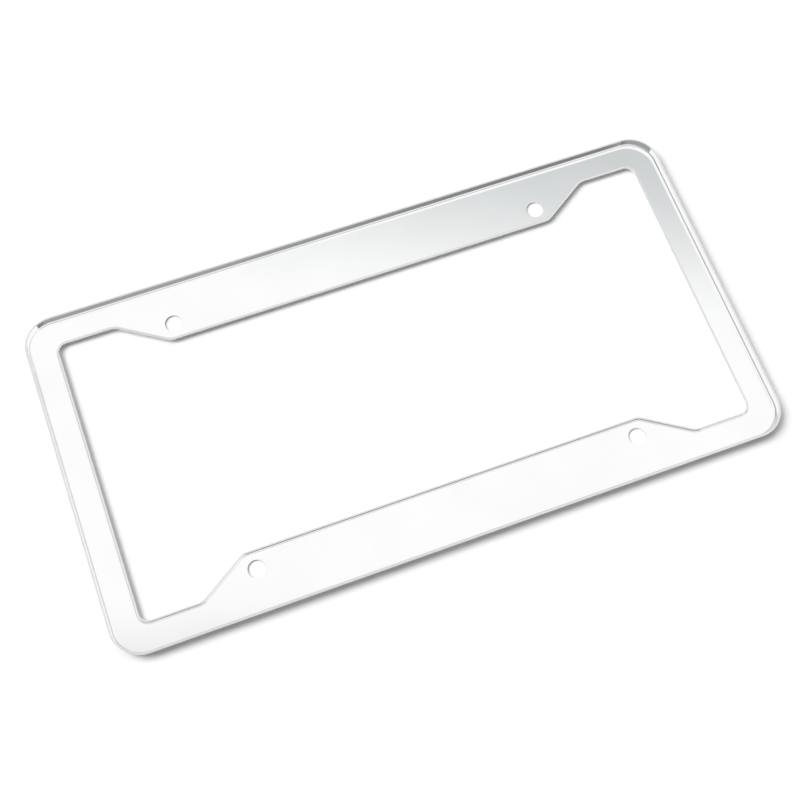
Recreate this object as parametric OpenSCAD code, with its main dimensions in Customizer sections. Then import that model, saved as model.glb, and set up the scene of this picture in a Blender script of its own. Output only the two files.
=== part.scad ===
// Number plate holder: one piece of sheet metal with a flat face, a steep upturned outer rim,
// a lower upturned lip round the window and four bolt holes.
// It lies on its flat back: X along the length, Y towards the plate's top edge, Z out of the face.
// Z = 0 is the back of the face, and X = Y = 0 is the middle of the outline.

/* [Outline] */
// Length over the outer rim, mm
frame_l = 310; // [305:1:325]
// Height over the outer rim, mm
frame_h = 160; // [154:1:172]
// Corner radius over the outer rim, mm
corner_r = 14; // [8:1:22]

/* [Sheet] */
// Thickness of the metal, mm
sheet_t = 0.9; // [0.6:0.1:1.2]

/* [Outer rim] */
// Height of the rim above the face, mm
rim_rise = 4.1; // [3:0.1:6]
// Radius of the rim's bend in front, mm
rim_bend_r = 0.8; // [0.5:0.1:1.5]
// Tangent of half the angle that the rim is bent up by
rim_half_tan = 0.9; // [0.7:0.05:1]

/* [Window] */
// Length of the window, mm
window_l = 282.5; // [276:0.1:285]
// Height of the window at its two ends, mm
window_end_h = 132.5; // [128:0.5:136]
// Height of the window between the bolt tabs, mm
window_mid_h = 104.276; // [98:0.001:106]
// Distance between the outer ends of the sloping edges, mm
shoulder_pitch = 229.4; // [222:0.1:240]
// Distance between the inner ends of the sloping edges, mm
tab_pitch = 185.132; // [180:0.001:192]
// Radius at the window's four end corners, mm
window_corner_r = 4; // [2:0.5:8]
// Radius at both ends of each sloping edge, mm
slope_r = 7.2; // [4.8:0.6:12]

/* [Window lip] */
// Height of the lip above the face, mm
lip_rise = 1.9; // [1.2:0.1:3]
// Radius of the lip's bend in front, mm
lip_bend_r = 0.5; // [0.3:0.1:0.8]
// Tangent of half the angle that the lip is bent up by
lip_half_tan = 0.9; // [0.7:0.05:1]

/* [Bolt holes] */
// Hole spacing along the length, mm
hole_pitch_x = 177.8; // [175:0.1:180]
// Hole spacing across the length, mm
hole_pitch_y = 120.65; // [118:0.05:124]
// Hole diameter, mm
hole_d = 8; // [6:0.1:9]

/* [Hidden] */
$fn = 48;

// Flat metal that every bent stretch carries inward, so that it overlaps the face sheet
lap = 2.4;
// Largest turn between two sides of the face sheet's own outline, degrees
sheet_step = 30;
// Angle that a bend's round part runs on into the straight ones, degrees
overlap = 20;
// Room that a cutter has past each face
cut = 1;
// Radius that is past every corner's metal
far = 100;

// Each upturned edge as [bend radius, angle, straight run past the bend]
rim = upturned(rim_rise, rim_bend_r, rim_half_tan);
lip = upturned(lip_rise, lip_bend_r, lip_half_tan);

function upturned(rise, r, half_tan) = let (angle = 2 * atan(half_tan))
  [r, angle, (rise - r * (1 - cos(angle))) / sin(angle)];

// Width of an upturned edge from the end of the flat face to its outermost point
function width(edge) = (edge[0] + sheet_t) * sin(edge[1]) + edge[2] * cos(edge[1]);

// Corners of a closed path as [point, radius]. The metal is on the left of the travel.
rim_path = [
  [[-frame_l / 2, -frame_h / 2], corner_r],
  [[frame_l / 2, -frame_h / 2], corner_r],
  [[frame_l / 2, frame_h / 2], corner_r],
  [[-frame_l / 2, frame_h / 2], corner_r]
];
// A quarter of the window from its end to the middle of a long side
window_quarter = [
  [[window_l / 2, window_end_h / 2], window_corner_r],
  [[shoulder_pitch / 2, window_end_h / 2], slope_r],
  [[tab_pitch / 2, window_mid_h / 2], slope_r]
];
window_path = concat(
  flipped(1, -1, window_quarter),
  backwards(flipped(-1, -1, window_quarter)),
  flipped(-1, 1, window_quarter),
  backwards(window_quarter)
);

function flipped(sx, sy, list) = [for (c = list) [[sx * c[0][0], sy * c[0][1]], c[1]]];
function backwards(list) = [for (i = [len(list) - 1:-1:0]) list[i]];

// Corner i of a path, the side that leads from it to the next one and how that side runs
function corner(path, i) = path[(i + len(path)) % len(path)][0];
function radius(path, i) = path[(i + len(path)) % len(path)][1];
function side(path, i) = corner(path, i + 1) - corner(path, i);
function heading(path, i) = atan2(side(path, i)[1], side(path, i)[0]);

// Turn at corner i, positive to the left, and the length of side that its arc takes
function turn(path, i) = let (a = side(path, i - 1), b = side(path, i))
  atan2(a[0] * b[1] - a[1] * b[0], a * b);
function taken(path, i) = radius(path, i) * tan(abs(turn(path, i)) / 2);

// Points of the face sheet's edge, an inset from the path, all on flat metal
function sheet_edge(path, inset) = [
  for (i = [0:len(path) - 1])
    let (
      hand = sign(turn(path, i)),
      steps = ceil(abs(turn(path, i)) / sheet_step),
      r = radius(path, i),
      along = heading(path, i - 1),
      centre = corner(path, i)
        - taken(path, i) * [cos(along), sin(along)]
        + hand * r * [-sin(along), cos(along)]
    )
    for (k = [0:steps])
      let (a = along - hand * 90 + turn(path, i) * k / steps)
      centre + (r - hand * inset) * [cos(a), sin(a)]
];

// A bent section, drawn as distance in from the path and height, carried along a path
module carry_along(path) {
  for (i = [0:len(path) - 1]) {
    translate(corner(path, i))
      rotate(heading(path, i))
        translate([taken(path, i), 0])
          rotate([90, 0, 90])
            linear_extrude(norm(side(path, i)) - taken(path, i) - taken(path, i + 1))
              children();
    translate(corner(path, i))
      rotate(heading(path, i - 1))
        translate([-taken(path, i), sign(turn(path, i)) * radius(path, i)])
          if (turn(path, i) > 0) {
            rotate(-90)
              swing(turn(path, i))
                translate([radius(path, i), 0])
                  mirror([1, 0])
                    children();
          } else {
            rotate(90 + turn(path, i))
              swing(-turn(path, i))
                translate([radius(path, i), 0])
                  children();
          }
  }
}

// A section swung about Z by an angle of up to 90 degrees
module swing(angle) {
  intersection() {
    rotate_extrude(angle = 90)
      children();
    translate([0, 0, -cut])
      linear_extrude(sheet_t + rim_rise + 2 * cut)
        polygon([[0, 0], [far, 0], [far * cos(angle), far * sin(angle)]]);
  }
}

// Section of an upturned edge: x is the distance in from the outermost point, y is the height
module edge_section(edge) {
  translate([width(edge), sheet_t + edge[0]])
    difference() {
      bend_side(edge[0] + sheet_t, edge[1], edge[2], lap);
      bend_side(edge[0], edge[1], edge[2] + cut, lap + cut);
    }
}

// Everything between a bend's centre, at the origin, and one surface of the bent sheet. The
// sheet runs flat to the right below the centre and rises to the left of it. The round part
// runs on into both straight ones.
module bend_side(r, angle, run, flat) {
  intersection() {
    circle(r);
    polygon([
      [0, 0],
      far * [sin(overlap), -cos(overlap)],
      far * [-sin(angle + overlap), -cos(angle + overlap)]
    ]);
  }
  translate([0, -r])
    square([flat, r]);
  rotate(-angle)
    translate([-run, -r])
      square([run, r]);
}

module face_sheet() {
  linear_extrude(sheet_t)
    difference() {
      polygon(sheet_edge(rim_path, width(rim) + lap / 2));
      polygon(sheet_edge(window_path, width(lip) + lap / 2));
    }
}

module bolt_holes() {
  for (x = [-1, 1], y = [-1, 1])
    translate([x * hole_pitch_x / 2, y * hole_pitch_y / 2, -cut])
      cylinder(d = hole_d, h = sheet_t + 2 * cut);
}

module plate_frame() {
  color([0.86, 0.87, 0.88])
    difference() {
      union() {
        face_sheet();
        carry_along(rim_path)
          edge_section(rim);
        carry_along(window_path)
          edge_section(lip);
      }
      bolt_holes();
    }
}

plate_frame();
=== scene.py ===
"""Number plate holder of bright polished sheet steel, with the studio that it lies in."""
import math

import bpy
import numpy as np
from bpy.props import FloatProperty, FloatVectorProperty, PointerProperty
from mathutils import Matrix, Vector
from mathutils.geometry import delaunay_2d_cdt


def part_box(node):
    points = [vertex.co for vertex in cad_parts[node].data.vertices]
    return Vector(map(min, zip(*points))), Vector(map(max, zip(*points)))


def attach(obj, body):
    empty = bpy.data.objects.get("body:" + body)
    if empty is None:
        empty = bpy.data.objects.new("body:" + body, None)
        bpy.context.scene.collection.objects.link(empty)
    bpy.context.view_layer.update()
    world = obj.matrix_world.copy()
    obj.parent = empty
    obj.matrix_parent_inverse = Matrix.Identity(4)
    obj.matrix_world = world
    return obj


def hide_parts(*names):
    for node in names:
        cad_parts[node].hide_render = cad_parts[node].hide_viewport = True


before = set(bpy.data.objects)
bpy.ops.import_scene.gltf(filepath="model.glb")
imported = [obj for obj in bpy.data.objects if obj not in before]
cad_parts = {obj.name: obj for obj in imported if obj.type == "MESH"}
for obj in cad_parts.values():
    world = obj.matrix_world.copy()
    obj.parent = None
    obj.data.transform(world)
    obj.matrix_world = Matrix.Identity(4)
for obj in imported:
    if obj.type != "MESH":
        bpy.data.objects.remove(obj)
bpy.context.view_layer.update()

bl_info = {
    "name": "Number plate holder",
    "version": (1, 0, 0),
    "blender": (4, 5, 0),
    "location": "View3D > Sidebar > Plate Holder",
    "description": "Bent sheet, polished finish and studio of a number plate holder",
    "category": "Object",
}

NODE = "plate_frame"
NODE_LOW, NODE_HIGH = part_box(NODE)

# How finely the sheet is cut up: steps round a bend, round each quarter round of a cut edge,
# round a corner of a quarter turn, at least round any corner, and round a bolt hole
BEND_STEPS = 18
EDGE_STEPS = 8
ARC_STEPS = 36
ARC_STEPS_LEAST = 6
HOLE_STEPS = 96
# About how far apart the stations on a straight side are, m
STRAIGHT_PITCH = 0.006
# Kind of triangulation that fills only the inside of loops, and how far apart its points are
# when they count as one, m
INSIDE_LOOPS = 1
SAME_POINT = 1e-9


# Shapes

def heading_normal(angle):
    """Unit vectors a quarter turn to the left of a heading: (-sin, cos) of the angle."""
    return np.stack([-np.sin(angle), np.cos(angle)], -1)


def walk(corners, radii):
    """Stations along a closed path with rounded corners, and each station's left normal.

    A corner that turns by t from heading h has its arc's centre at r to the side it turns to,
    and the arc's points are the centre plus r times the radius direction from h to h + t.
    A side between two arcs is cut into equal lengths of about the straight pitch.
    """
    corners = np.asarray(corners, float)
    ahead = np.roll(corners, -1, 0) - corners
    lengths = np.hypot(ahead[:, 0], ahead[:, 1])
    headings = np.arctan2(ahead[:, 1], ahead[:, 0])
    arrive = np.roll(headings, 1)
    turns = (headings - arrive + np.pi) % (2 * np.pi) - np.pi
    taken = radii * np.tan(np.abs(turns) / 2)
    points, normals = [], []
    for i, corner in enumerate(corners):
        hand = np.sign(turns[i])
        along = np.array([math.cos(arrive[i]), math.sin(arrive[i])])
        start = corner - taken[i] * along
        centre = start + hand * radii[i] * heading_normal(arrive[i])
        steps = max(ARC_STEPS_LEAST, math.ceil(ARC_STEPS * abs(turns[i]) / (math.pi / 2)))
        swept = arrive[i] + turns[i] * np.linspace(0, 1, steps + 1)
        left = heading_normal(swept)
        points.append(centre - hand * radii[i] * left)
        normals.append(left)
        after = (i + 1) % len(corners)
        straight = lengths[i] - taken[i] - taken[after]
        cuts = max(1, round(straight / STRAIGHT_PITCH))
        reach = np.linspace(0, straight, cuts + 1)[1:-1, None]
        leave = np.array([math.cos(headings[i]), math.sin(headings[i])])
        points.append(points[-1][-1] + reach * leave)
        normals.append(np.repeat(heading_normal(headings[i])[None], len(reach), 0))
    return np.concatenate(points), np.concatenate(normals)


def arc(start, end, steps):
    """Angles from start to end in equal steps, as one array."""
    return np.linspace(start, end, steps + 1)


def upturned_edge(rise, front_r, angle, thickness, soft, round_r):
    """Section of an edge that is bent up, from the flat front, round the cut edge, to the back.

    Rows are distance in from the path, height, the normal's two parts and the cut-edge mask,
    which is 1 in the middle of the cut edge and fades to 0 along its two rounds.
    The bend's centre is the edge's width in from the path and r + t up from the back. With
    q(f) = (-sin f, -cos f), the front is the centre plus r q and the back is the centre plus
    (r + t) q, for f from 0 to the angle a. A straight run then leaves along (-cos a, sin a).
    The cut edge ends in two quarter rounds, of radius soft in front and round_r at the back.
    """
    back_r = front_r + thickness
    run = (rise - front_r * (1 - math.cos(angle))) / math.sin(angle)
    centre = np.array([back_r * math.sin(angle) + run * math.cos(angle), back_r])
    bend = arc(0, angle, BEND_STEPS)
    rays = np.stack([-np.sin(bend), -np.cos(bend)], -1)
    front, back = centre + front_r * rays, centre + back_r * rays
    out, through = np.array([-math.cos(angle), math.sin(angle)]), rays[-1]
    quarter = arc(0, math.pi / 2, EDGE_STEPS)[:, None]
    near = front[-1] + (run - soft) * out + soft * through
    far = back[-1] + (run - round_r) * out - round_r * through
    near_n = -np.cos(quarter) * through + np.sin(quarter) * out
    far_n = np.cos(quarter) * out + np.sin(quarter) * through
    points = np.concatenate([front, near + soft * near_n, far + round_r * far_n, back[::-1]])
    normals = np.concatenate([-rays, near_n, far_n, rays[::-1]])
    grown = quarter[:, 0] / (math.pi / 2)
    mask = np.concatenate([0 * bend, grown, grown[::-1], 0 * bend])
    return np.column_stack([points, normals, mask])


def bore_edge(thickness, soft):
    """Section of a bolt hole's wall: a quarter round in from the front, the wall, and a quarter
    round out to the back, as rows like those of the bent edges."""
    quarter = arc(0, math.pi / 2, EDGE_STEPS)[:, None]
    down, inward = np.array([0.0, -1.0]), np.array([-1.0, 0.0])
    upper_n = -np.cos(quarter) * down + np.sin(quarter) * inward
    lower_n = np.cos(quarter) * inward + np.sin(quarter) * down
    upper = np.array([soft, thickness - soft]) + soft * upper_n
    lower = np.array([soft, soft]) + soft * lower_n
    grown = quarter[:, 0] / (math.pi / 2)
    return np.column_stack([np.concatenate([upper, lower]), np.concatenate([upper_n, lower_n]),
                            np.concatenate([grown, grown[::-1]])])


def carried(points, normals, section):
    """A section carried along a path: each vertex is the station plus its left normal times the
    section's distance, at the section's height. Returns vertices, normals, mask, quads that face
    outwards, and the grid of vertex numbers with a row for each station."""
    rows, cols = len(points), len(section)
    flat = points[:, None, :] + normals[:, None, :] * section[None, :, 0, None]
    level = np.broadcast_to(section[None, :, 1, None], (rows, cols, 1))
    verts = np.concatenate([flat, level], 2)
    lean = normals[:, None, :] * section[None, :, 2, None]
    lift = np.broadcast_to(section[None, :, 3, None], (rows, cols, 1))
    facing = np.concatenate([lean, lift], 2)
    mask = np.broadcast_to(section[None, :, 4], (rows, cols))
    grid = np.arange(rows * cols).reshape(rows, cols)
    ahead = np.roll(grid, -1, 0)
    quads = np.stack([grid[:, :-1], grid[:, 1:], ahead[:, 1:], ahead[:, :-1]], -1).reshape(-1, 4)
    return verts.reshape(-1, 3), facing.reshape(-1, 3), mask.reshape(-1), quads, grid


def inside(places, loop):
    """Which places a closed loop holds: a ray along +x crosses it an odd number of times."""
    ahead = np.roll(loop, -1, 0)
    x, y = places[:, None, 0], places[:, None, 1]
    spans = (loop[:, 1] > y) != (ahead[:, 1] > y)
    rise = np.where(ahead[:, 1] == loop[:, 1], 1.0, ahead[:, 1] - loop[:, 1])
    meets = loop[:, 0] + (y - loop[:, 1]) * (ahead[:, 0] - loop[:, 0]) / rise
    return (spans & (x < meets)).sum(1) % 2 == 1


def flat_between(verts, loops):
    """Triangles of the flat sheet inside the first loop and outside the other ones, as rows of
    vertex numbers that turn to the left seen from the front."""
    order = np.concatenate(loops)
    starts = np.cumsum([0] + [len(one) for one in loops])[:-1]
    edges = np.concatenate([
        np.stack([np.arange(len(one)), np.roll(np.arange(len(one)), -1)], -1) + start
        for one, start in zip(loops, starts)
    ])
    flat = [Vector(p) for p in verts[order, :2].tolist()]
    found = delaunay_2d_cdt(flat, edges.tolist(), [], INSIDE_LOOPS, SAME_POINT)
    if len(found[0]) != len(order):
        raise RuntimeError("the flat sheet's edges cross each other")
    origin = np.array([source[0] for source in found[3]])
    triangles = order[origin[np.array(found[2])]]
    middles = verts[triangles, :2].mean(1)
    for one in loops[1:]:
        keep = ~inside(middles, verts[one, :2])
        triangles, middles = triangles[keep], middles[keep]
    a, b, c = (verts[triangles[:, k], :2] for k in range(3))
    turn = (b[:, 0] - a[:, 0]) * (c[:, 1] - a[:, 1]) - (b[:, 1] - a[:, 1]) * (c[:, 0] - a[:, 0])
    triangles[turn < 0] = triangles[turn < 0][:, ::-1]
    return triangles


def window_corners(shape):
    """Corners and radii of the window's path, which runs clockwise with the metal on its left."""
    x1, y1 = shape.window_length / 2, shape.window_end_height / 2
    x2, x3 = shape.shoulder_pitch / 2, shape.tab_pitch / 2
    y3 = shape.window_middle_height / 2
    quarter = np.array([[x1, y1], [x2, y1], [x3, y3]])
    radii = np.array([shape.window_corner_radius, shape.slope_radius, shape.slope_radius])
    corners = np.concatenate([quarter * (1, -1), (quarter * (-1, -1))[::-1],
                              quarter * (-1, 1), quarter[::-1]])
    return corners, np.concatenate([radii, radii[::-1], radii, radii[::-1]])


def build_mesh(shape):
    """The whole sheet as one closed mesh: two bent edges, four bores and the flat between.

    The flat's triangles join the first column of each carried section in front, and the same
    triangles, turned round, join the last columns at the back.
    """
    x, y = shape.length / 2, shape.height / 2
    outline = np.array([[-x, -y], [x, -y], [x, y], [-x, y]])
    rim_path = walk(outline, np.full(4, shape.corner_radius))
    window_path = walk(*window_corners(shape))
    rim = upturned_edge(shape.rim_rise, shape.rim_bend_radius, shape.rim_angle, shape.thickness,
                        shape.edge_softness, shape.edge_round)
    lip = upturned_edge(shape.lip_rise, shape.lip_bend_radius, shape.lip_angle, shape.thickness,
                        shape.edge_softness, shape.edge_round)
    around = -np.linspace(0, 2 * np.pi, HOLE_STEPS, endpoint=False)
    ring = np.stack([np.cos(around), np.sin(around)], -1)
    bore = bore_edge(shape.thickness, shape.bore_softness)
    middles = [(sx * shape.hole_pitch_x / 2, sy * shape.hole_pitch_y / 2)
               for sx in (-1, 1) for sy in (-1, 1)]
    parts = [carried(*rim_path, rim), carried(*window_path, lip)]
    parts += [carried(np.array(m) + ring * shape.hole_diameter / 2, ring, bore) for m in middles]

    starts = np.cumsum([0] + [len(part[0]) for part in parts])[:-1]
    verts = np.concatenate([part[0] for part in parts])
    normals = np.concatenate([part[1] for part in parts])
    mask = np.concatenate([part[2] for part in parts])
    quads = np.concatenate([part[3] + start for part, start in zip(parts, starts)])
    front = flat_between(verts, [part[4][:, 0] + start for part, start in zip(parts, starts)])
    to_back = np.arange(len(verts))
    for part, start in zip(parts, starts):
        to_back[part[4][:, 0] + start] = part[4][:, -1] + start
    return verts, normals, mask, quads, front, to_back[front][:, ::-1]


def mesh_object(name, verts, normals, mask, faces):
    """A smooth mesh object from arrays, with its exact normals and its cut-edge mask."""
    mesh = bpy.data.meshes.new(name)
    mesh.from_pydata(verts.tolist(), [], faces)
    mesh.polygons.foreach_set("use_smooth", np.ones(len(mesh.polygons), bool))
    cut = mesh.attributes.new("cut_edge", "FLOAT", "POINT")
    cut.data.foreach_set("value", mask.astype(np.float32))
    mesh.update()
    mesh.normals_split_custom_set_from_vertices(normals.tolist())
    piece = bpy.data.objects.new(name, mesh)
    bpy.context.scene.collection.objects.link(piece)
    return piece


# Finishes

# Scales of the patterns in the steel, in cycles a metre: polishing lines across and along them,
# patches of them, the broad and the small swell of the sheet, patches of tone, sheared grain
LINES_ACROSS, LINES_ALONG = 9000.0, 260.0
LINE_PATCHES = 22.0
BROAD_SWELL, SMALL_SWELL = 14.0, 70.0
TONE_PATCHES = 35.0
SHEAR_GRAIN = 2600.0
# Parts of a noise's range that are stretched out
LINE_RANGE, PATCH_RANGE, TONE_RANGE = (0.42, 0.7), (0.35, 0.75), (0.3, 0.7)
# How much of the small swell is added to the broad one
SMALL_SHARE = 0.12
# Colour of the darker patches of tone, as a share of the steel's colour
DARKER = 0.975
# Least and most that the sheared colour covers a cut edge
SHEAR_COVER = (0.45, 0.9)
# Roughness that the polishing lines add, and how high they and the swell stand, m
LINE_ROUGHNESS = 0.045
LINE_HEIGHT, SWELL_HEIGHT = 0.0000012, 0.00012


def opaque(colour):
    """Three parts of a colour with an alpha of 1."""
    return tuple(colour) + (1.0,)


def grey(value):
    """A plain grey with an alpha of 1."""
    return opaque((value,) * 3)


def new_group(name, inputs, outputs):
    """An empty shader node group with its sockets, and its input and output nodes."""
    group = bpy.data.node_groups.new(name, "ShaderNodeTree")
    for label, kind, value in inputs:
        socket = group.interface.new_socket(label, in_out="INPUT", socket_type="NodeSocket" + kind)
        if value is not None:
            socket.default_value = value
    for label, kind in outputs:
        group.interface.new_socket(label, in_out="OUTPUT", socket_type="NodeSocket" + kind)
    return group, group.nodes.new("NodeGroupInput"), group.nodes.new("NodeGroupOutput")


def node(tree, kind, **settings):
    """A new node with its properties set."""
    made = tree.nodes.new(kind)
    for key, value in settings.items():
        setattr(made, key, value)
    return made


def feed(tree, target, value):
    """Links an output into a socket, or writes a plain value on it."""
    if isinstance(value, bpy.types.NodeSocket):
        tree.links.new(value, target)
    else:
        target.default_value = value


def maths(tree, operation, *values, clamp=False):
    """One Math node and its output."""
    made = node(tree, "ShaderNodeMath", operation=operation, use_clamp=clamp)
    for socket, value in zip(made.inputs, values):
        feed(tree, socket, value)
    return made.outputs[0]


def product(tree, result, *factors):
    """Two or more values multiplied together."""
    for factor in factors:
        result = maths(tree, "MULTIPLY", result, factor)
    return result


def plus(tree, base, share, value):
    """A base plus a share of another value."""
    return maths(tree, "ADD", base, maths(tree, "MULTIPLY", value, share))


def stretch(tree, value, ends, results=(0.0, 1.0)):
    """A smooth Map Range node from two ends to two results, and its output."""
    made = node(tree, "ShaderNodeMapRange", interpolation_type="SMOOTHSTEP")
    for key, one in zip(("Value", "From Min", "From Max", "To Min", "To Max"),
                        (value, *ends, *results)):
        feed(tree, made.inputs[key], one)
    return made.outputs[0]


def blend(tree, factor, first, second):
    """A colour Mix node and its output."""
    made = node(tree, "ShaderNodeMix", data_type="RGBA")
    for index, value in ((0, factor), (6, first), (7, second)):
        feed(tree, made.inputs[index], value)
    return made.outputs[2]


def noise(tree, place, scale, detail=2.0, roughness=0.5):
    """A Noise Texture node with a scale in cycles for each unit of the place, and its value."""
    made = node(tree, "ShaderNodeTexNoise")
    feed(tree, made.inputs["Vector"], place)
    feed(tree, made.inputs["Scale"], scale)
    made.inputs["Detail"].default_value = detail
    made.inputs["Roughness"].default_value = roughness
    return made.outputs["Fac"]


def bump(tree, height, distance, strength):
    """A Bump node for heights from 0 to 1, which stand for the distance."""
    made = node(tree, "ShaderNodeBump")
    feed(tree, made.inputs["Height"], height)
    made.inputs["Distance"].default_value = distance
    made.inputs["Strength"].default_value = strength
    return made


def polish_group():
    """Polishing lines that run with the long side: noise at Length cycles a metre along x and
    at Lines cycles along y and z. The streaks are its high parts, broken up by slower noise."""
    tree, given, out = new_group(
        "polish_lines",
        [("Place", "Vector", None), ("Lines", "Float", LINES_ACROSS),
         ("Length", "Float", LINES_ALONG)],
        [("Height", "Float"), ("Streaks", "Float")])
    split = node(tree, "ShaderNodeSeparateXYZ")
    feed(tree, split.inputs[0], given.outputs["Place"])
    place = node(tree, "ShaderNodeCombineXYZ")
    for index, scale in enumerate(("Length", "Lines", "Lines")):
        feed(tree, place.inputs[index], product(tree, split.outputs[index], given.outputs[scale]))
    lines = noise(tree, place.outputs[0], 1.0, detail=3.0, roughness=0.6)
    patches = noise(tree, given.outputs["Place"], LINE_PATCHES)
    feed(tree, out.inputs["Height"], lines)
    feed(tree, out.inputs["Streaks"], product(tree, stretch(tree, lines, LINE_RANGE),
                                              stretch(tree, patches, PATCH_RANGE)))
    return tree


def sheet_group():
    """The slow unevenness of pressed sheet: a broad swell plus a share of a smaller one."""
    tree, given, out = new_group(
        "sheet_swell", [("Place", "Vector", None), ("Broad", "Float", BROAD_SWELL)],
        [("Height", "Float")])
    broad = noise(tree, given.outputs["Place"], given.outputs["Broad"], detail=1.0)
    small = noise(tree, given.outputs["Place"], SMALL_SWELL, detail=1.0)
    feed(tree, out.inputs["Height"], plus(tree, broad, SMALL_SHARE, small))
    return tree


def steel_material(finish):
    """Bright polished steel with faint patches of tone, polishing lines and a slow swell, and
    with a duller, darker and sheared finish on its cut edges."""
    material = bpy.data.materials.new("polished_steel")
    material.use_nodes = True
    tree = material.node_tree
    shader = tree.nodes["Principled BSDF"]
    shader.inputs["Metallic"].default_value = 1.0
    place = node(tree, "ShaderNodeTexCoord").outputs["Object"]
    polish = node(tree, "ShaderNodeGroup", node_tree=polish_group())
    swell = node(tree, "ShaderNodeGroup", node_tree=sheet_group())
    for group in (polish, swell):
        feed(tree, group.inputs["Place"], place)
    cut = node(tree, "ShaderNodeAttribute", attribute_name="cut_edge").outputs["Fac"]

    tone = stretch(tree, noise(tree, place, TONE_PATCHES), TONE_RANGE)
    darker = opaque(part * DARKER for part in finish.steel_colour)
    steel = blend(tree, tone, opaque(finish.steel_colour), darker)
    shear = stretch(tree, noise(tree, place, SHEAR_GRAIN), TONE_RANGE, SHEAR_COVER)
    feed(tree, shader.inputs["Base Color"],
         blend(tree, product(tree, cut, shear), steel, opaque(finish.edge_colour)))

    gloss = plus(tree, finish.roughness, LINE_ROUGHNESS, polish.outputs["Streaks"])
    feed(tree, shader.inputs["Roughness"], plus(tree, gloss, finish.edge_roughness, cut))

    wave = bump(tree, swell.outputs["Height"], SWELL_HEIGHT, finish.swell)
    grain = bump(tree, polish.outputs["Height"], LINE_HEIGHT, finish.grain)
    feed(tree, grain.inputs["Normal"], wave.outputs["Normal"])
    feed(tree, shader.inputs["Normal"], grain.outputs["Normal"])
    return material


# Studio

# Parts of the surroundings that the steel reflects, by the direction (x, y, z) that it looks in.
# Across is x / z and along is y / z. Each pair runs from where a part starts to show to where
# it shows in full.
WALL_SLOPE = 2.1
WALL_EDGE = (1.05, 1.46)  # in across + slope * along
WALL_RIGHT = (0.65, 0.5)  # in across
WALL_FOOT = (0.3, 0.5)  # in z

NEAR_SLOPE = 0.45
NEAR_EDGE = (-0.42, -0.5)  # in along + slope * across, where across is below 0
NEAR_RIGHT = (0.54, 0.47)  # in across
NEAR_FOOT = (math.sin(math.radians(38.0)), math.sin(math.radians(43.0)))  # in z
NEAR_TO_LOW = (0.05, 0.4)  # in across, from the near zone's colour to the low one

DARKEST_LEFT, DARKEST_RIGHT = (-0.3, -0.1), (0.4, 0.28)  # in across
DARKEST_NEAR = (-0.66, -0.56)  # in along

PATCH_SLOPE = 3.8
PATCH_EDGE = (0.88, 0.7)  # in across + slope * along
PATCH_LEFT = (-0.3, -0.15)  # in across
PATCH_NEAR = (0.15, 0.2)  # in along
PATCH_STRENGTH = 0.2

SIDE_AZIMUTH = 180.0
SIDE_HALF_WIDTHS = (40.0, 70.0)
SIDE_HEIGHTS = (-30.0, -20.0, 22.0, 34.0)

HORIZON = (0.45, 0.1)  # in z
# Least z, and least level part of a direction, that anything is divided by
LEAST_Z, LEAST_LEVEL = 0.05, 0.01

# Half of the floor's width, m, and its grey for the light that it sends back to the object
FLOOR_REACH = 12.0
FLOOR_BOUNCE = 0.8
# Name, share of the key light and direction towards each lamp
KEY_LAMPS = (("key_left", 0.8, (-0.72, 0.46, 1.0)), ("key_right", 0.2, (0.2, 0.46, 1.0)))
# The camera's place, m, and the directions of its right side and its back
CAMERA_PLACE = (-0.09702, -0.19687, 0.5594)
CAMERA_RIGHT = (0.93726, -0.34657, 0.0378)
CAMERA_BACK = (-0.15438, -0.31539, 0.93632)
# The width of its sensor, mm, and how near and far it sees, m
SENSOR_WIDTH = 36.0
CLIP_START, CLIP_END = 0.01, 100.0


def seen_mask(tree):
    """1 for what the camera sees, directly or in metal and glass, and 0 for other light."""
    path = node(tree, "ShaderNodeLightPath")
    seen = maths(tree, "ADD", path.outputs["Is Camera Ray"], path.outputs["Is Glossy Ray"])
    return maths(tree, "ADD", seen, path.outputs["Is Transmission Ray"], clamp=True)


def floor_material(studio):
    """Matt white floor. What the camera sees of it is white, apart from the shadow on it."""
    material = bpy.data.materials.new("studio_floor")
    material.use_nodes = True
    tree = material.node_tree
    tree.nodes.remove(tree.nodes["Principled BSDF"])
    mix = node(tree, "ShaderNodeMixShader")
    feed(tree, mix.inputs[0], seen_mask(tree))
    for index, white in ((1, FLOOR_BOUNCE), (2, studio.floor_white)):
        matt = node(tree, "ShaderNodeBsdfDiffuse")
        matt.inputs["Color"].default_value = grey(white)
        feed(tree, mix.inputs[index], matt.outputs[0])
    feed(tree, tree.nodes["Material Output"].inputs["Surface"], mix.outputs[0])
    return material


def zone(tree, direction, azimuth, half_widths, heights):
    """A part of the sky round an azimuth: 1 within the first half width to each side and 0 past
    the second, between heights given as the four elevations of its two fading edges, all in
    degrees. How far a direction is from the azimuth is the cosine (x cos a + y sin a) / level,
    where level is the direction's level part."""
    x, y, z = direction
    turn = math.radians(azimuth)
    flat = maths(tree, "ADD", product(tree, x, x), product(tree, y, y))
    level = maths(tree, "MAXIMUM", maths(tree, "SQRT", flat), LEAST_LEVEL)
    facing = plus(tree, product(tree, x, math.cos(turn)), math.sin(turn), y)
    inner, outer = (math.cos(math.radians(width)) for width in half_widths)
    low, full, last, high = (math.sin(math.radians(height)) for height in heights)
    return product(tree, stretch(tree, maths(tree, "DIVIDE", facing, level), (outer, inner)),
                   stretch(tree, z, (low, full)), stretch(tree, z, (high, last)))


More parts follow.
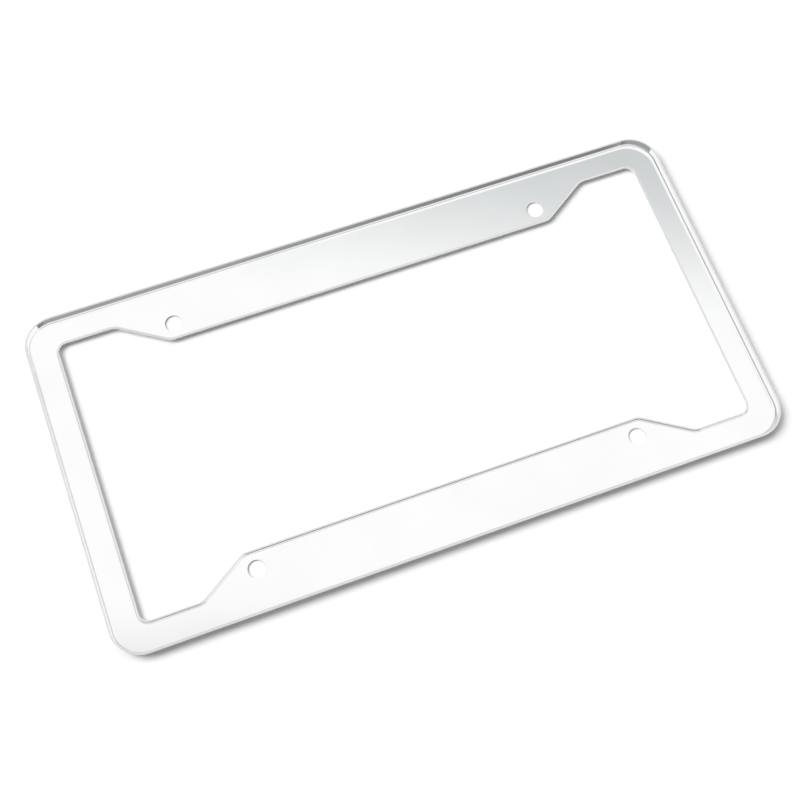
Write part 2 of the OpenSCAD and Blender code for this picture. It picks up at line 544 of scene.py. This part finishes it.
def studio_world(studio):
    """White surroundings, in which the steel sees darker parts as a function of direction.

    They are a grey wall high to the far right, a dark zone round the camera that is darkest at
    the camera itself, a faint patch nearly overhead, a dark zone low at the left, and a darker
    sky towards the horizon. Only light that reaches the camera by way of the steel alone shows
    them. The camera itself sees plain white, and all other light comes from a plain grey.
    """
    world = bpy.data.worlds.new("studio")
    bpy.context.scene.world = world
    world.use_nodes = True
    tree = world.node_tree
    tree.nodes.clear()
    split = node(tree, "ShaderNodeSeparateXYZ")
    feed(tree, split.inputs[0], node(tree, "ShaderNodeTexCoord").outputs["Generated"])
    x, y, z = direction = split.outputs[:3]
    height = maths(tree, "MAXIMUM", z, LEAST_Z)
    across, along = maths(tree, "DIVIDE", x, height), maths(tree, "DIVIDE", y, height)
    near_colour, low_colour = opaque(studio.near_colour), opaque(studio.low_colour)

    wall = product(tree, stretch(tree, plus(tree, across, WALL_SLOPE, along), WALL_EDGE),
                   stretch(tree, z, WALL_FOOT), stretch(tree, across, WALL_RIGHT))
    slant = plus(tree, along, NEAR_SLOPE, maths(tree, "MINIMUM", across, 0.0))
    near = product(tree, stretch(tree, across, NEAR_RIGHT), stretch(tree, slant, NEAR_EDGE),
                   stretch(tree, z, NEAR_FOOT))
    darkest = product(tree, stretch(tree, along, DARKEST_NEAR),
                      stretch(tree, across, DARKEST_LEFT), stretch(tree, across, DARKEST_RIGHT))
    near_shade = blend(tree, stretch(tree, across, NEAR_TO_LOW), near_colour, low_colour)
    near_shade = blend(tree, darkest, near_shade, opaque(studio.camera_colour))
    patch = product(tree, stretch(tree, plus(tree, across, PATCH_SLOPE, along), PATCH_EDGE),
                    stretch(tree, along, PATCH_NEAR), stretch(tree, across, PATCH_LEFT),
                    PATCH_STRENGTH)
    side = zone(tree, direction, SIDE_AZIMUTH, SIDE_HALF_WIDTHS, SIDE_HEIGHTS)
    horizon = product(tree, stretch(tree, z, HORIZON), studio.horizon)

    sky = grey(studio.reflected_white)
    for mask, colour in ((wall, opaque(studio.wall_colour)), (near, near_shade),
                         (patch, near_colour), (side, low_colour), (horizon, low_colour)):
        sky = blend(tree, mask, sky, colour)

    path = node(tree, "ShaderNodeLightPath")
    plain = blend(tree, path.outputs["Is Camera Ray"], grey(studio.dome), grey(1.0))
    first = maths(tree, "LESS_THAN", path.outputs["Diffuse Depth"], 0.5)
    mirrored = product(tree, path.outputs["Is Glossy Ray"], first)
    background = node(tree, "ShaderNodeBackground")
    feed(tree, background.inputs["Color"], blend(tree, mirrored, plain, sky))
    feed(tree, node(tree, "ShaderNodeOutputWorld").inputs["Surface"], background.outputs[0])


# Settings

def length_property(label, text, value):
    return FloatProperty(name=label, description=text, default=value, min=0.0,
                         subtype="DISTANCE", unit="LENGTH", precision=5)


def angle_property(label, text, degrees):
    return FloatProperty(name=label, description=text, default=math.radians(degrees),
                         subtype="ANGLE", unit="ROTATION")


def colour_property(label, text, value):
    return FloatVectorProperty(name=label, description=text, default=value, size=3, min=0.0,
                               max=1.0, subtype="COLOR")


def plain_property(label, text, value):
    return FloatProperty(name=label, description=text, default=value, min=0.0, precision=4)


class HolderShape(bpy.types.PropertyGroup):
    length: length_property("Length", "Over the outer rim", NODE_HIGH[0] - NODE_LOW[0])
    height: length_property("Height", "Over the outer rim", NODE_HIGH[1] - NODE_LOW[1])
    corner_radius: length_property("Corner radius", "Over the outer rim", 0.014)
    thickness: length_property("Thickness", "Thickness of the sheet", 0.0009)
    edge_softness: length_property("Edge softness", "Inner radius of the cut edges", 0.0002)
    edge_round: length_property("Edge round", "Outer radius of the cut edges", 0.00045)
    rim_rise: length_property("Rim rise", "Height of the rim above the face", 0.0041)
    rim_bend_radius: length_property("Rim bend", "Radius of the rim's bend in front", 0.0008)
    rim_angle: angle_property("Rim angle", "How far the rim is bent up", 83.974425)
    window_length: length_property("Window length", "Between the lips' tips", 0.2825)
    window_end_height: length_property("Window end height", "At the window's two ends", 0.1325)
    window_middle_height: length_property("Window middle height", "Between the tabs", 0.104276)
    window_corner_radius: length_property("Window corner radius", "At the end corners", 0.004)
    shoulder_pitch: length_property("Shoulder pitch", "Between the slopes' outer ends", 0.2294)
    tab_pitch: length_property("Tab pitch", "Between the slopes' inner ends", 0.185132)
    slope_radius: length_property("Slope radius", "At both ends of a slope", 0.0072)
    lip_rise: length_property("Lip rise", "Height of the window lip above the face", 0.0019)
    lip_bend_radius: length_property("Lip bend", "Radius of the lip's bend in front", 0.0005)
    lip_angle: angle_property("Lip angle", "How far the lip is bent up", 83.974425)
    hole_pitch_x: length_property("Hole pitch along", "Hole spacing along the length", 0.1778)
    hole_pitch_y: length_property("Hole pitch across", "Hole spacing across", 0.12065)
    hole_diameter: length_property("Hole diameter", "Diameter of a bolt hole", 0.008)
    bore_softness: length_property("Bore softness", "Radius of a bolt hole's edges", 0.00008)


class HolderFinish(bpy.types.PropertyGroup):
    steel_colour: colour_property("Steel", "Colour of the polished steel", (0.985, 0.987, 0.989))
    edge_colour: colour_property("Cut edge", "Colour of the sheared edges", (0.8, 0.802, 0.804))
    roughness: plain_property("Roughness", "Roughness of the polished faces", 0.03)
    edge_roughness: plain_property("Edge roughness", "What the cut edges add to it", 0.34)
    swell: plain_property("Swell", "Strength of the sheet's slow unevenness", 0.35)
    grain: plain_property("Grain", "Strength of the polishing lines", 0.3)


class HolderStudio(bpy.types.PropertyGroup):
    lens: plain_property("Lens", "Focal length in mm on a 36 mm wide sensor", 60.02)
    dome: plain_property("Dome", "How bright the surroundings alone light a white floor", 0.26)
    key: plain_property("Key", "How bright the key lamps alone light a white floor", 0.76)
    key_softness: angle_property("Key softness", "Angle that each key lamp fills", 36.0)
    floor_white: plain_property("Floor white", "How bright the floor is seen", 1.0)
    reflected_white: plain_property("Reflected white", "White that the metal sees", 1.0)
    wall_colour: colour_property("Wall", "Grey wall that the metal sees", (0.623, 0.651, 0.651))
    near_colour: colour_property("Near zone", "Dark zone's left", (0.36, 0.36, 0.36))
    low_colour: colour_property("Low zone", "Dark zone's right, low sky", (0.227, 0.227, 0.227))
    horizon: plain_property("Horizon", "Share of the low colour at the horizon", 0.45)
    camera_colour: colour_property("Camera zone", "Dark zone's darkest part", (0.07, 0.07, 0.07))


# Operators and panel

class OBJECT_OT_holder_sheet(bpy.types.Operator):
    """Makes the bent sheet and gives it its polished finish"""

    bl_idname = "object.holder_sheet"
    bl_label = "Make the holder"

    def execute(self, context):
        verts, normals, mask, quads, front, back = build_mesh(context.scene.holder_shape)
        faces = quads.tolist() + front.tolist() + back.tolist()
        piece = mesh_object("holder_sheet", verts, normals, mask, faces)
        piece.data.materials.append(steel_material(context.scene.holder_finish))
        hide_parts(NODE)
        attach(piece, "root")
        return {"FINISHED"}


class SCENE_OT_holder_stage(bpy.types.Operator):
    """Makes the floor, the surroundings, the two key lamps and the camera"""

    bl_idname = "scene.holder_stage"
    bl_label = "Make the studio"

    def execute(self, context):
        scene, studio = context.scene, context.scene.holder_studio
        corners = np.array([[-1, -1, 0], [1, -1, 0], [1, 1, 0], [-1, 1, 0]]) * FLOOR_REACH
        mesh = bpy.data.meshes.new("floor")
        mesh.from_pydata(corners.tolist(), [], [(0, 1, 2, 3)])
        mesh.materials.append(floor_material(studio))
        floor = bpy.data.objects.new("floor", mesh)
        scene.collection.objects.link(floor)
        studio_world(studio)

        # A sun of strength pi straight above lights a flat white face at a plain 1. One that
        # leans over lights it less by height / length of its direction, and is made stronger
        # by as much.
        for name, share, direction in KEY_LAMPS:
            toward = Vector(direction)
            lamp = bpy.data.lights.new(name, "SUN")
            lamp.angle = studio.key_softness
            lamp.energy = share * math.pi * studio.key * toward.length / toward.z
            key = bpy.data.objects.new(name, lamp)
            key.matrix_world = toward.to_track_quat("Z", "Y").to_matrix().to_4x4()
            key.visible_glossy = False
            scene.collection.objects.link(key)

        lens = bpy.data.cameras.new("camera")
        lens.sensor_fit = "HORIZONTAL"
        lens.sensor_width = SENSOR_WIDTH
        lens.lens = studio.lens
        lens.clip_start, lens.clip_end = CLIP_START, CLIP_END
        camera = bpy.data.objects.new("camera", lens)
        right, back = Vector(CAMERA_RIGHT), Vector(CAMERA_BACK)
        turned = Matrix((right, back.cross(right), back)).transposed()
        camera.matrix_world = Matrix.Translation(CAMERA_PLACE) @ turned.to_4x4()
        scene.collection.objects.link(camera)
        scene.camera = camera
        scene.view_settings.view_transform = "Standard"
        return {"FINISHED"}


class VIEW3D_PT_plate_holder(bpy.types.Panel):
    bl_label = "Plate Holder"
    bl_idname = "VIEW3D_PT_plate_holder"
    bl_space_type = "VIEW_3D"
    bl_region_type = "UI"
    bl_category = "Plate Holder"

    def draw(self, context):
        layout, scene = self.layout, context.scene
        for group in (scene.holder_shape, scene.holder_finish, scene.holder_studio):
            box = layout.box()
            for name in group.__annotations__:
                box.prop(group, name)
        layout.operator(OBJECT_OT_holder_sheet.bl_idname)
        layout.operator(SCENE_OT_holder_stage.bl_idname)


CLASSES = (HolderShape, HolderFinish, HolderStudio, OBJECT_OT_holder_sheet, SCENE_OT_holder_stage,
           VIEW3D_PT_plate_holder)


def register():
    for one in CLASSES:
        bpy.utils.register_class(one)
    bpy.types.Scene.holder_shape = PointerProperty(type=HolderShape)
    bpy.types.Scene.holder_finish = PointerProperty(type=HolderFinish)
    bpy.types.Scene.holder_studio = PointerProperty(type=HolderStudio)


def unregister():
    for name in ("holder_shape", "holder_finish", "holder_studio"):
        delattr(bpy.types.Scene, name)
    for one in reversed(CLASSES):
        bpy.utils.unregister_class(one)


def main():
    register()
    bpy.ops.object.holder_sheet()
    bpy.ops.scene.holder_stage()


if __name__ == "__main__":
    main()
